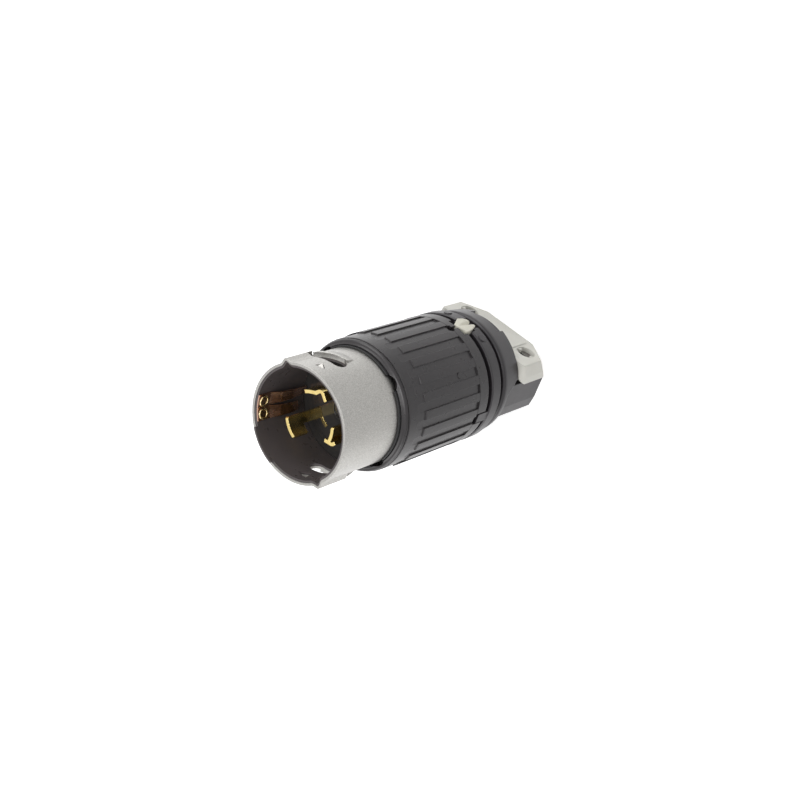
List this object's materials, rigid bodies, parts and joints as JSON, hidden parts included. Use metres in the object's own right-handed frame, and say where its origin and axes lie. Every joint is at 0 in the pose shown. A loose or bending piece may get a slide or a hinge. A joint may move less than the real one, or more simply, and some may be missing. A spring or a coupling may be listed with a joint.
{
  "type": "locking power plug",
  "caption": "Locking power plug with a steel bayonet shell around three brass blades, a fluted black grip sleeve and an ivory two-screw cord clamp.",
  "frame": {"origin": "centre of the cord entry at the plug's cord end, which the plug stands on", "axes": "+Z along the plug's axis, from the cord end towards the blades; +Y out of the cord clamp's outer face; +X along the line of the two clamp screws"},
  "size_m": [0.0594, 0.0601, 0.1382],
  "materials": {
    "shell_steel": "bright pressed sheet steel",
    "liner_board": "dark insulating liner",
    "spring_copper": "copper-coloured spring strip",
    "rivet_brass": "brass rivets",
    "face_gloss": "glossy black moulding",
    "blade_brass": "bright brass blades",
    "block_nylon": "black moulding",
    "lug_brass": "brass box terminals",
    "zinc_screw": "plated steel screws",
    "strap_brass": "brass strap",
    "sleeve_nylon": "dark grey-black satin moulding",
    "housing_nylon": "dark grey-black satin moulding",
    "latch_ivory": "ivory moulding",
    "shield_rubber": "soft dust shield",
    "clamp_ivory": "ivory-white moulding",
    "clamp_screw_steel": "plated steel screws",
    "nut_steel": "plated steel nuts"
  },
  "bodies": {
    "root": {"steel_shell": "shell_steel", "shell_liner": "liner_board", "ground_spring": "spring_copper", "spring_rivets": "rivet_brass", "front_insulator": "face_gloss", "blade_hook": "blade_brass", "blade_plain": "blade_brass", "blade_angle": "blade_brass", "terminal_block": "block_nylon", "terminal_lug_x": "lug_brass", "terminal_lug_y": "lug_brass", "terminal_lug_z": "lug_brass", "terminal_lug_ground": "lug_brass", "terminal_screws": "zinc_screw", "ground_strap": "strap_brass", "block_screws": "zinc_screw", "grip_sleeve": "sleeve_nylon", "rear_housing": "housing_nylon", "lock_latch": "latch_ivory", "dust_shield": "shield_rubber", "cord_clamp": "clamp_ivory", "clamp_screws": "clamp_screw_steel", "clamp_nuts": "nut_steel"}
  },
  "joints": []
}
